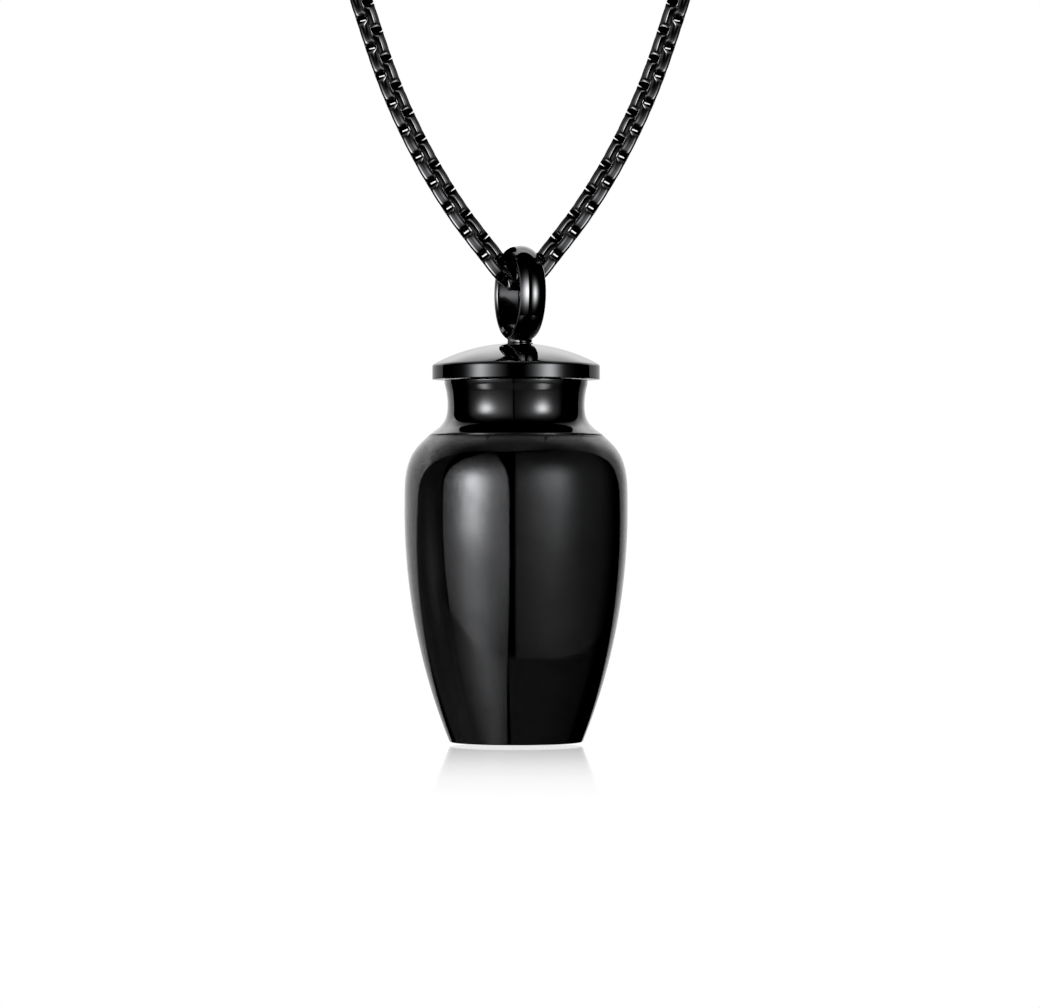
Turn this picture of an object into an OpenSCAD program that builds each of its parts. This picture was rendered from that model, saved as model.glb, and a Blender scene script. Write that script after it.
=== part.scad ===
// Keepsake urn pendant: a turned jar with a screw lid and a ring bail, hung on a round box chain.
// Millimetres, +Z up. The wearer faces -Y. The origin is where the clasp lies on the nape, and the
// pendant hangs at the front, where the two strands of the chain meet in a V.

/* [Jar] */
// Diameter of the flat base
base_d = 12; // [10:0.1:14]
// Radius of the rounded edge round the base
base_edge_r = 0.15; // [0.1:0.05:0.4]
// Largest diameter, at the belly
belly_d = 20; // [17:0.1:24]
// Rise of the bowl from the base to the belly
bowl_h = 20.5; // [16:0.1:26]
// Height of the straight band at the belly
band_h = 2.3; // [1:0.1:5]
// Height of the shoulder, from the band up to the crease
shoulder_h = 4.7; // [3.8:0.1:6]
// Diameter of the crease between shoulder and neck
crease_d = 15.3; // [14.4:0.1:16]
// Slope of the neck just above the crease, from upright
neck_slope = 52; // [40:1:60]
// Radius of the hollow between that slope and the waist
hollow_r = 2.5; // [1.5:0.1:3.2]
// Diameter of the waist, the narrowest part of the neck
waist_d = 12.3; // [11.6:0.1:12.9]
// Rise of the neck from the waist to the mouth
flare_h = 2.5; // [2:0.1:4]
// Diameter of the mouth, under the lid
mouth_d = 13; // [13:0.1:14.5]
// Thickness of the bowl's wall
wall = 2; // [1.2:0.1:2.6]
// Thickness of the floor
floor_t = 2.6; // [1.5:0.1:4]
// Diameter of the neck's bore, at the crests of its thread
bore_d = 8.8; // [7:0.1:9.6]

/* [Lid] */
// Diameter of the lid's flange
flange_d = 15; // [14:0.1:18]
// Height of the flange's straight edge
flange_h = 1.35; // [0.9:0.05:2]
// Height of the dome above the flange
dome_h = 1.9; // [1:0.1:4]
// Radius that breaks the edges of flange and mouth
edge_r = 0.1; // [0.05:0.01:0.2]
// Gap between the jar's mouth and the flange
seam_gap = 0.05; // [0.03:0.01:0.2]
// Length of the threaded plug under the flange
plug_l = 4.5; // [3.5:0.1:6]
// Clearance all round between the plug's thread and the bore
thread_gap = 0.12; // [0.08:0.01:0.3]
// Distance from one turn of the thread to the next
thread_pitch = 1; // [0.7:0.05:1.1]
// Depth of the thread
thread_depth = 0.35; // [0.2:0.05:0.45]

/* [Bail] */
// Inner diameter of the ring
bail_id = 6.9; // [6:0.1:9]
// Thickness of the ring's D-shaped section, from bore to crown
bail_t = 0.96; // [0.7:0.02:1.4]
// Width of the ring along its axis
bail_w = 2.4; // [1.8:0.1:3.2]
// Radius of the ring's rims, next to the bore
rim_r = 0.3; // [0.1:0.02:0.32]
// Turn of the ring's axis about the upright, from +X towards +Y
bail_yaw = 18; // [0:1:25]
// Distance of post and ring from the jar's axis
bail_offset = 0.35; // [0:0.05:1]
// Diameter of the post soldered on the dome
post_d = 2.2; // [1.6:0.1:2.8]
// Height of the post that shows above the dome
post_h = 0.55; // [0.3:0.05:0.9]

/* [Chain and clasp] */
// Diameter of the chain
chain_d = 2; // [1.6:0.1:2.4]
// Radius of the chain's bend inside the bail
vee_r = 1.5; // [1.3:0.1:2]
// Slope of the strands where they leave the bail, from level
vee_slope = 48; // [40:1:50]
// Smallest gap between the chain and the bail
chain_gap = 0.16; // [0.13:0.01:0.4]
// Length of the clasp's barrel
clasp_l = 12; // [8:0.5:14]
// Diameter of the clasp's barrel
clasp_d = 5; // [4:0.1:7]
// Length of the ferrule that holds each end of the chain
ferrule_l = 2; // [1:0.1:3]
// Diameter of the ferrules
ferrule_d = 3.2; // [2.6:0.1:4]

/* [Hidden] */
$fn = 64;

// One half of the chain, as points from the bail up to the nape: x, y, z.
// The first is at the end of the bend in the bail, and the other half mirrors them.
hang_y = -124;
low_z = -202.85;
route = [
    [3.1, -124, -199.9],
    [5.6, -124, -196.6],
    [8.6, -124, -191.7],
    [11.4, -123.9, -185.8],
    [14.2, -123.5, -177.7],
    [19, -122.5, -162],
    [29.5, -118.3, -126],
    [39.5, -109.5, -92],
    [48.2, -95, -62],
    [54.4, -75.5, -38],
    [56, -52, -21],
    [50.5, -29, -10],
    [37.7, -11, -3.5],
    [22, -0.8, -0.6]
];
tube_sides = 8;
ring_pitch = 8.2;

// Heights on the jar, from its base
belly_r = belly_d / 2;
shoulder_z = bowl_h + band_h;
crease_z = shoulder_z + shoulder_h;
slope_run = crease_d / 2 - waist_d / 2 - hollow_r * (1 - cos(neck_slope));
waist_z = crease_z + slope_run / tan(neck_slope) + hollow_r * sin(neck_slope);
mouth_z = waist_z + flare_h;

// Radii of the arcs that meet an upright tangent at belly or waist
bowl_r = arc_radius(belly_r - base_d / 2, bowl_h);
shoulder_r = arc_radius(belly_r - crease_d / 2, shoulder_h);
flare_r = arc_radius(mouth_d / 2 - waist_d / 2, flare_h);

// Heights on the lid, from the jar's base
lid_z = mouth_z + seam_gap;
dome_z = lid_z + flange_h;
dome_top = dome_z + dome_h;
dome_r = cap_radius(flange_d / 2 - edge_r, dome_h);
plug_r = bore_d / 2 - thread_gap - thread_depth;
plug_chamfer = 0.4;
plug_turns = floor((plug_l - plug_chamfer - thread_pitch / 2) / thread_pitch);
bore_chamfer = 0.3;

// The ring stands on the dome, and its lowest point is level with the dome's top
bail_r = bail_id / 2;
bail_z = dome_top + bail_t + bail_r;

// The bail's rims rest on the two strands: the pendant is placed by the gap there.
// The rims are turned by the yaw, so they meet the side of the strand's upper flat first.
strand_rise = tan(vee_slope);
vee_apex_z = low_z - vee_r * (1 / cos(vee_slope) - 1);
flat_side = chain_d / 2 * sin(180 / tube_sides);
rim_x = (bail_w / 2 - rim_r + flat_side * sin(bail_yaw)) / cos(bail_yaw);
rim_z = vee_apex_z + rim_x * strand_rise
    + (chain_d / 2 + chain_gap + rim_r) / cos(vee_slope);
pendant_z = rim_z - rim_r - bail_r - bail_z;
pendant_at = [-bail_offset, hang_y, pendant_z];

// Radius of an arc that starts upright and comes in by dr over the height h
function arc_radius(dr, h) = (dr * dr + h * h) / (2 * dr);
// Radius of a dome of the height h over a circle of the radius r
function cap_radius(r, h) = (r * r + h * h) / (2 * h);
// Points on an arc about c, from the angle a to the angle b
function arc(c, r, a, b, n) =
    [for (i = [0:n]) c + r * [cos(a + (b - a) * i / n), sin(a + (b - a) * i / n)]];

steel = "#17181b";

// Outside of the jar from the base's middle up to the mouth, as radius and height
function jar_outside() = concat(
    [[0, 0]],
    arc([base_d / 2 - base_edge_r, base_edge_r], base_edge_r, -90, -20, 3),
    arc([belly_r - bowl_r, bowl_h], bowl_r, -asin((bowl_h - base_edge_r) / bowl_r), 0, 16),
    arc([belly_r - shoulder_r, shoulder_z], shoulder_r, 0, asin(shoulder_h / shoulder_r), 14),
    arc([waist_d / 2 + hollow_r, waist_z], hollow_r, 180 + neck_slope, 180, 10),
    arc([waist_d / 2 + flare_r, waist_z], flare_r, 179, 180 - asin((flare_h - edge_r) / flare_r), 6),
    [[mouth_d / 2 - edge_r, mouth_z]]);

// Inside of the jar from the mouth down to the floor's middle
function jar_inside() = let (roof_r = shoulder_r - wall, well_r = bowl_r - wall) concat(
    [[bore_d / 2 + bore_chamfer, mouth_z], [bore_d / 2, mouth_z - bore_chamfer]],
    arc([belly_r - shoulder_r, shoulder_z], roof_r,
        acos((bore_d / 2 - belly_r + shoulder_r) / roof_r), 0, 12),
    arc([belly_r - bowl_r, bowl_h], well_r, 0, -asin((bowl_h - floor_t) / well_r), 14),
    [[0, floor_t]]);

module jar() {
    color(steel)
        translate(pendant_at)
            rotate_extrude($fn = 96)
                polygon(concat(jar_outside(), jar_inside()));
}

// Right side of the lid from the plug's lower end up to the dome's top
function lid_outline() = concat(
    [[0, lid_z - plug_l], [plug_r - plug_chamfer, lid_z - plug_l], [plug_r, lid_z - plug_l + plug_chamfer]],
    [for (i = [0:plug_turns - 1])
        for (p = [[0, -0.5], [thread_depth, -0.15], [thread_depth, 0.15], [0, 0.5]])
            [plug_r + p[0], lid_z - plug_l + plug_chamfer + (i + 0.5 + p[1] * 0.9) * thread_pitch]],
    [[plug_r, lid_z]],
    arc([flange_d / 2 - edge_r, lid_z + edge_r], edge_r, -90, 0, 4),
    arc([flange_d / 2 - edge_r, dome_z - edge_r], edge_r, 0, 90, 4),
    arc([0, dome_top - dome_r], dome_r, 90 - asin((flange_d / 2 - edge_r) / dome_r), 90, 14));

// Section of the ring as radius and place along its axis: a flat bore, round rims, a domed crown
function bail_section() = let (
        rise = bail_t - rim_r,
        side = bail_w / 2 - rim_r,
        crown_r = (rise * rise + side * side - rim_r * rim_r) / (2 * (rise - rim_r)),
        turn = atan2(side, crown_r - rise),
        span = turn * 11 / 12)
    concat(
        arc([bail_r + rim_r, -side], rim_r, 180, 360 - turn, 8),
        arc([bail_r + bail_t - crown_r, 0], crown_r, -span, span, 11),
        arc([bail_r + rim_r, side], rim_r, turn, 180, 8));

module lid_with_bail() {
    color(steel)
        translate(pendant_at) {
            rotate_extrude($fn = 96)
                polygon(lid_outline());
            translate([bail_offset, 0, dome_top - dome_h / 2])
                cylinder(h = dome_h / 2 + post_h, d = post_d, $fn = 48);
            translate([bail_offset, 0, bail_z])
                rotate([0, 90, bail_yaw])
                    rotate_extrude($fn = 96)
                        polygon(bail_section());
        }
}

function unit(v) = v / norm(v);
function mirrored(p) = [-p[0], p[1], p[2]];
function between(a, b, ta, tb, t) = ((tb - t) * a + (t - ta) * b) / (tb - ta);

// Point at the share s of the stretch from p[1] to p[2], on a smooth curve through all four
function smooth(p, s) = let (
        t1 = sqrt(norm(p[1] - p[0])),
        t2 = t1 + sqrt(norm(p[2] - p[1])),
        t3 = t2 + sqrt(norm(p[3] - p[2])),
        t = t1 + s * (t2 - t1),
        a = between(p[0], p[1], 0, t1, t),
        b = between(p[1], p[2], t1, t2, t),
        c = between(p[2], p[3], t2, t3, t))
    between(between(a, b, 0, t2, t), between(b, c, t1, t3, t), t1, t2, t);

// Half of the chain's middle line, from the lowest point to the clasp
vee = [for (a = [0, vee_slope / 2, vee_slope])
    [vee_r * sin(a), hang_y, low_z + vee_r * (1 - cos(a))]];
chain_end = [clasp_l / 2 + ferrule_l, clasp_d / 2, 0];
knots = concat([mirrored(vee[1])], vee, route, [chain_end, chain_end - [8, 0, 0]]);
middle = concat(
    [for (i = [1:len(knots) - 3])
        let (n = max(1, round(norm(knots[i + 1] - knots[i]) / ring_pitch)))
            for (k = [0:n - 1])
                smooth([for (j = [i - 1:i + 2]) knots[j]], k / n)],
    [chain_end]);

// Direction of the middle line at each point, level where it passes the mirror plane and the clasp
function heading(i) =
    i == 0 ? [1, 0, 0] : i == len(middle) - 1 ? [-1, 0, 0] : unit(middle[i + 1] - middle[i - 1]);
// A side direction carried along the chain without twist
sides = [for (i = 0, s = [0, 1, 0]; i < len(middle);
    i = i + 1, s = i < len(middle) ? unit(s - (s * heading(i)) * heading(i)) : s) s];

// Corners of the tube round point i of the half, and round point i of the whole chain
function ring(i) = [for (k = [0:tube_sides - 1])
    let (a = 360 * (k + 0.5) / tube_sides)
        middle[i] + chain_d / 2 * (cos(a) * sides[i] + sin(a) * cross(heading(i), sides[i]))];
half = len(middle) - 1;
rings = [for (i = [-half:half]) i < 0 ? [for (p = ring(-i)) mirrored(p)] : ring(i)];

module chain() {
    m = tube_sides;
    last = len(rings) - 1;
    color(steel)
        polyhedron(
            points = [for (r = rings) for (p = r) p],
            faces = concat(
                [[for (k = [m - 1:-1:0]) k]],
                [for (i = [0:last - 1]) for (k = [0:m - 1])
                    let (a = i * m + k, b = i * m + (k + 1) % m)
                        for (f = [[a, b, b + m], [a, b + m, a + m]]) f],
                [[for (k = [0:m - 1]) last * m + k]]));
}

// Outline of one half of the clasp along its axis: a barrel with a rounded end, then the ferrule
function clasp_half() = let (
        end_r = (clasp_d - ferrule_d) / 2)
    concat(
        arc([clasp_d / 2 - end_r, clasp_l / 2 - end_r], end_r, 0, 90, 6),
        arc([ferrule_d / 2 - edge_r, clasp_l / 2 + ferrule_l - edge_r], edge_r, 0, 90, 3));

module clasp() {
    right = clasp_half();
    color(steel)
        translate([0, clasp_d / 2, 0])
            rotate([0, 90, 0])
                rotate_extrude($fn = 64)
                    polygon(concat(
                        [[0, -clasp_l / 2 - ferrule_l]],
                        [for (i = [len(right) - 1:-1:0]) [right[i][0], -right[i][1]]],
                        right,
                        [[0, clasp_l / 2 + ferrule_l]]));
}

jar();
lid_with_bail();
chain();
clasp();
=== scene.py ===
"""Looks of a keepsake urn pendant on a round box chain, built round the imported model.

The jar, the lid with its bail, the chain and the clasp replace their plain solids. All of them are
polished steel with a black coat, seen in a white light tent. Lengths in the classes are millimetres,
and each mesh is brought to metres when its object is made.
"""

import logging
import math
from collections.abc import Iterable
from dataclasses import dataclass
from enum import Enum

import bmesh
import bpy
from mathutils import Matrix, Vector

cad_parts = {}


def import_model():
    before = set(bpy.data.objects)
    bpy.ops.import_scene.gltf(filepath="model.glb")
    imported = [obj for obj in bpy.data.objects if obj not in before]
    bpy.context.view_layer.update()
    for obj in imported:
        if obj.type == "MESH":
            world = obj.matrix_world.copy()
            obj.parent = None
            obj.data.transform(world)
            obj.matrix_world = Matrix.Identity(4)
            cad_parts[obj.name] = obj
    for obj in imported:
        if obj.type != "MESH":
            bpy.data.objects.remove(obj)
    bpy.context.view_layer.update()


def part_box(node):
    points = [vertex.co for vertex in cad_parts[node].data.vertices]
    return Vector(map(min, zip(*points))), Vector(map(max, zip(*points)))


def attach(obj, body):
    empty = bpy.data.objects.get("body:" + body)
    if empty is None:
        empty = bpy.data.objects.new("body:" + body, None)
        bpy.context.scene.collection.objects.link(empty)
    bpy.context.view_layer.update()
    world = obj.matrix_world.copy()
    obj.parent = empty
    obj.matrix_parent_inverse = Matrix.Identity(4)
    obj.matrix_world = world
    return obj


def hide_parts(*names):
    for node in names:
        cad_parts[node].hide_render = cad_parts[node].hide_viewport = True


log = logging.getLogger("urn_pendant")
MM = 0.001
Point = tuple[float, float]
Triple = tuple[float, float, float]
Table = tuple[Point, ...]
BMesh = bmesh.types.BMesh
Material = bpy.types.Material
Piece = bpy.types.Object


class Body(str, Enum):
    """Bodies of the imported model."""

    NECKLACE = "necklace"
    LID = "lid"
    JAR = "jar"


class Slot(str, Enum):
    """Material slots of the record."""

    JAR = "jar_steel"
    LID = "lid_steel"
    CHAIN = "chain_steel"
    CLASP = "clasp_steel"


# Small helpers for profiles


def arc(cx: float, cz: float, radius: float, start: float, end: float, steps: int) -> list[Point]:
    """Points on an arc in the profile's plane.

    Args:
        cx: Distance of the arc's centre from the axis.
        cz: Height of the arc's centre.
        radius: Radius of the arc.
        start: First angle in degrees, from outwards towards up.
        end: Last angle in degrees.
        steps: Number of stretches.

    Returns:
        The points from start to end, both included.
    """
    angles = [math.radians(start + (end - start) * i / steps) for i in range(steps + 1)]
    return [(cx + radius * math.cos(a), cz + radius * math.sin(a)) for a in angles]


def straight(a: Point, b: Point, steps: int) -> list[Point]:
    """Points from a to b, both included, in equal steps."""
    return [(a[0] + (b[0] - a[0]) * i / steps, a[1] + (b[1] - a[1]) * i / steps)
            for i in range(steps + 1)]


def eased(table: Table, at: float) -> float:
    """Value of a table at a place between its rows, on a smooth curve without overshoot.

    Args:
        table: Rows of place and value, in rising order of place.
        at: The place.

    Returns:
        The value there.
    """
    xs, ys = [row[0] for row in table], [row[1] for row in table]
    at = min(max(at, xs[0]), xs[-1])
    slopes = [(ys[i + 1] - ys[i]) / (xs[i + 1] - xs[i]) for i in range(len(xs) - 1)]
    tangents = [slopes[0]]
    for before, after in zip(slopes, slopes[1:]):
        tangents.append(0.0 if before * after <= 0 else 2 * before * after / (before + after))
    tangents.append(slopes[-1])
    k = max(i for i in range(len(xs) - 1) if xs[i] <= at)
    span = xs[k + 1] - xs[k]
    t = (at - xs[k]) / span
    return (ys[k] * (1 + 2 * t) * (1 - t) ** 2 + span * tangents[k] * t * (1 - t) ** 2
            + ys[k + 1] * t * t * (3 - 2 * t) + span * tangents[k + 1] * t * t * (t - 1))


def mirrored(rows: Table) -> Table:
    """A table that starts at place 0, with its other side added as a mirror image."""
    return tuple((-place, value) for place, value in rows[:0:-1]) + rows


def leaning(tilts: Table, anchor: Point, low: float, high: float, step: float) -> list[Point]:
    """A wall's outline, worked out from how far its surface leans at each height.

    Args:
        tilts: Rows of height and tilt; the tilt is the surface's lean in degrees, up when positive.
        anchor: A known radius and its height.
        low: Lowest height.
        high: Highest height.
        step: Distance in height from one point to the next.

    Returns:
        Points as radius and height, from low to high.
    """
    count = max(2, math.ceil((high - low) / step))
    heights = [low + (high - low) * i / count for i in range(count + 1)]
    radii, fine = [0.0], 8
    for z0, z1 in zip(heights, heights[1:]):
        dz = (z1 - z0) / fine
        drop = sum(math.tan(math.radians(eased(tilts, z0 + dz * (j + 0.5)))) for j in range(fine))
        radii.append(radii[-1] - drop * dz)
    i = min(range(count), key=lambda k: abs((heights[k] + heights[k + 1]) / 2 - anchor[1]))
    share = (anchor[1] - heights[i]) / (heights[i + 1] - heights[i])
    offset = anchor[0] - (radii[i] + share * (radii[i + 1] - radii[i]))
    return [(r + offset, z) for r, z in zip(radii, heights)]


# Small helpers for meshes


def turned(outline: list[Point], steps: int) -> BMesh:
    """A body turned on the Z axis.

    Args:
        outline: Radius and height of each point; closed bodies start and end on the axis.
        steps: Number of faces round the axis.

    Returns:
        The mesh, with its poles closed and its faces pointing outwards.
    """
    bm = bmesh.new()
    verts = [bm.verts.new((r, 0.0, z)) for r, z in outline]
    for a, b in zip(verts, verts[1:]):
        bm.edges.new((a, b))
    bmesh.ops.spin(bm, geom=bm.verts[:] + bm.edges[:], cent=(0, 0, 0), axis=(0, 0, 1), dvec=(0, 0, 0),
                   angle=2 * math.pi, steps=steps, use_merge=True)
    bmesh.ops.remove_doubles(bm, verts=bm.verts[:], dist=1e-5)
    bmesh.ops.recalc_face_normals(bm, faces=bm.faces[:])
    return bm


def turned_ring(outline: list[Point], steps: int) -> BMesh:
    """A ring turned on the Z axis from a closed outline that stays off the axis."""
    return turned(outline + [outline[0]], steps)


def thread(root: float, crest: float, low: float, turns: float, pitch: float,
           steps: int) -> BMesh:
    """The ridge of a screw thread, swept along its helix and closed at both ends.

    Args:
        root: Radius where the ridge stands on its wall.
        crest: Radius of the ridge's flat top.
        low: Height of the ridge's middle at its lower end.
        turns: Number of turns.
        pitch: Rise of one turn.
        steps: Number of faces in one turn.

    Returns:
        The ridge's mesh.
    """
    bm = bmesh.new()
    sink = math.copysign(0.05, root - crest)
    section = [(root + sink, -0.36), (root, -0.34), (crest, -0.1), (crest, 0.1), (root, 0.34),
               (root + sink, 0.36)]
    verts = [bm.verts.new((r, 0.0, low + z * pitch)) for r, z in section]
    start = bm.faces.new(verts)
    count = round(turns * steps)
    bmesh.ops.spin(bm, geom=[start], cent=(0, 0, 0), axis=(0, 0, 1), dvec=(0, 0, pitch / steps),
                   angle=2 * math.pi * turns, steps=count)
    bmesh.ops.recalc_face_normals(bm, faces=bm.faces[:])
    return bm


def merge(target: BMesh, other: BMesh) -> BMesh:
    """Adds a mesh to another.

    Args:
        target: The mesh that takes the other in.
        other: The other mesh, which is freed.

    Returns:
        The target.
    """
    passing = bpy.data.meshes.new("passing")
    other.to_mesh(passing)
    other.free()
    target.from_mesh(passing)
    bpy.data.meshes.remove(passing)
    return target


def added(name: str, bm: BMesh) -> Piece:
    """Adds an object to the scene.

    Args:
        name: Name of the object.
        bm: Its mesh in metres, which is freed.

    Returns:
        The object, at the origin.
    """
    mesh = bpy.data.meshes.new(name)
    bm.to_mesh(mesh)
    bm.free()
    thing = bpy.data.objects.new(name, mesh)
    bpy.context.scene.collection.objects.link(thing)
    return thing


def dressed(name: str, bm: BMesh, place: Matrix, body: Body, slot: Slot, node: str,
            *finishes: Material, sharp_from: float = 50.0) -> Piece:
    """Makes a piece and gives it what the row needs of it.

    Args:
        name: Its name.
        bm: Its mesh in millimetres, which is freed.
        place: Where it stands in the row frame, in millimetres.
        body: Body that it rides on.
        slot: Slot of the record that it belongs to; not used.
        node: Node that it stands for.
        finishes: Its materials, in the order of its faces' material numbers.
        sharp_from: Angle in degrees past which an edge is shaded sharp.

    Returns:
        The piece, at the origin, with its place in its mesh.
    """
    bmesh.ops.transform(bm, matrix=Matrix.Scale(MM, 4) @ place, verts=bm.verts[:])
    for face in bm.faces:
        face.smooth = True
    limit = math.radians(sharp_from)
    for edge in bm.edges:
        edge.smooth = not edge.is_manifold or edge.calc_face_angle(0.0) < limit
    piece = added(name, bm)
    for finish in finishes:
        piece.data.materials.append(finish)
    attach(piece, body.value)
    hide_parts(node)
    log.info("%s: %d faces", piece.name, len(piece.data.polygons))
    return piece


# Node trees, for materials and lights


def fill(node: bpy.types.Node, inputs: dict) -> None:
    """Sets or links inputs of a node.

    Args:
        node: The node.
        inputs: Plain value, Num or socket for each input, by the input's name or place.
    """
    for key, value in inputs.items():
        value = value.socket if isinstance(value, Num) else value
        if isinstance(value, bpy.types.NodeSocket):
            node.id_data.links.new(value, node.inputs[key])
        else:
            node.inputs[key].default_value = value


def add_node(tree: bpy.types.NodeTree, kind: str, inputs: dict | None = None,
             **settings: str) -> bpy.types.Node:
    """Adds a node to a tree.

    Args:
        tree: The tree.
        kind: Type of the node.
        inputs: What its inputs get, as in fill.
        settings: Its other settings by name.

    Returns:
        The node.
    """
    node = tree.nodes.new(kind)
    for name, value in settings.items():
        setattr(node, name, value)
    fill(node, inputs or {})
    return node


class Num:
    """A number in a node tree, which plain arithmetic turns into Math nodes."""

    def __init__(self, tree: bpy.types.NodeTree, socket: bpy.types.NodeSocket) -> None:
        """Keeps the tree and the socket that gives the number."""
        self.tree, self.socket = tree, socket

    def math(self, operation: str, *others: "Num | float") -> "Num":
        """A Math node on this number and the others."""
        inputs = dict(enumerate((self, *others)))
        return Num(self.tree, add_node(self.tree, "ShaderNodeMath", inputs, operation=operation).outputs[0])

    def __add__(self, other: "Num | float") -> "Num":
        """Sum."""
        return self.math("ADD", other)

    def __sub__(self, other: "Num | float") -> "Num":
        """Difference."""
        return self.math("SUBTRACT", other)

    def __mul__(self, other: "Num | float") -> "Num":
        """Product."""
        return self.math("MULTIPLY", other)

    def rise(self, low: float, high: float) -> "Num":
        """A smooth step of this number.

        Args:
            low: Where the step is still 0.
            high: Where it is 1, above low, or below low for a step that falls.

        Returns:
            The step's value.
        """
        first, last = (0.0, 1.0) if low <= high else (1.0, 0.0)
        node = add_node(self.tree, "ShaderNodeMapRange", {
            "Value": self, "From Min": min(low, high), "From Max": max(low, high),
            "To Min": first, "To Max": last}, interpolation_type="SMOOTHSTEP")
        return Num(self.tree, node.outputs["Result"])

    def hump(self, centre: float, width: float) -> "Num":
        """A bell curve that is 1 at the centre and falls to 0.37 at the width."""
        away = (self - centre) * (1 / width)
        return (away * away * -1.0).math("EXPONENT")

    def table(self, rows: Table) -> "Num":
        """Value of a table at this number, by a Float Curve over the rows' places.

        Args:
            rows: Rows of place and value, in rising order of place.

        Returns:
            The value, which stays the first or last one outside the rows.
        """
        start, end = rows[0][0], rows[-1][0]
        least, most = min(value for _, value in rows), max(value for _, value in rows)
        share = (self - start) * (1 / (end - start))
        node = add_node(self.tree, "ShaderNodeFloatCurve", {"Value": share})
        node.mapping.extend = "HORIZONTAL"
        curve = node.mapping.curves[0]
        while len(curve.points) < len(rows):
            curve.points.new(0.5, 0.5)
        for point, (place, value) in zip(curve.points, rows):
            point.location = ((place - start) / (end - start), (value - least) / (most - least))
            point.handle_type = "AUTO_CLAMPED"
        node.mapping.update()
        return Num(self.tree, node.outputs["Value"]) * (most - least) + least


# Finishes


@dataclass(frozen=True)
class BlackSteel:
    """Polished steel with a thin black coat, its faint unevenness and its few fine scratches.

    Where it isn't polished, it is near-black and mirrors nothing: painted shade for hollows. The spans say
    between which values of their noise the roughness and the scratches rise.
    """

    name: str
    tint: Triple = (0.034, 0.0345, 0.0355)
    tint_change: float = 0.12
    roughness: float = 0.04
    roughness_change: float = 0.02
    roughness_span: Point = (0.35, 0.75)
    grain_mm: float = 3.0
    scratch_height_mm: float = 0.0003
    scratch_span: Point = (0.62, 0.75)
    scratch_turn: Triple = (0.4, 0.7, 0.2)
    scratch_scale: Triple = (9000.0, 700.0, 700.0)
    reflective: bool = True

    def make(self) -> Material:
        """Builds the material.

        Returns:
            The material, whose patterns lie in the piece's Object coordinates.
        """
        material = bpy.data.materials.new(self.name)
        material.use_nodes = True
        tree = material.node_tree
        shader = tree.nodes["Principled BSDF"]
        place = add_node(tree, "ShaderNodeTexCoord").outputs["Object"]

        haze = add_node(tree, "ShaderNodeTexNoise", {
            "Vector": place, "Scale": 1 / (self.grain_mm * MM), "Detail": 4.0}).outputs["Fac"]
        tone = add_node(tree, "ShaderNodeValToRGB", {"Fac": haze})
        for stop, position, sign in zip(tone.color_ramp.elements, (0.3, 0.7), (-1, 1)):
            stop.position = position
            stop.color = (*(c * (1 + sign * self.tint_change) for c in self.tint), 1.0)
        level = Num(tree, haze).rise(*self.roughness_span) * self.roughness_change + self.roughness

        stretch = add_node(tree, "ShaderNodeMapping", {
            "Vector": place, "Rotation": self.scratch_turn, "Scale": self.scratch_scale})
        hairs = add_node(tree, "ShaderNodeTexNoise", {
            "Vector": stretch.outputs["Vector"], "Scale": 1.0, "Detail": 2.0})
        bump = add_node(tree, "ShaderNodeBump", {
            "Distance": self.scratch_height_mm * MM,
            "Height": Num(tree, hairs.outputs["Fac"]).rise(*self.scratch_span)})
        fill(shader, {"Metallic": float(self.reflective), "Base Color": tone.outputs["Color"],
                      "Roughness": level, "Normal": bump.outputs["Normal"]})
        # A finish that isn't reflective mirrors nothing at all; it serves as painted shade.
        if not self.reflective:
            fill(shader, {"Specular IOR Level": 0.0})
        return material


# The pendant


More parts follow.
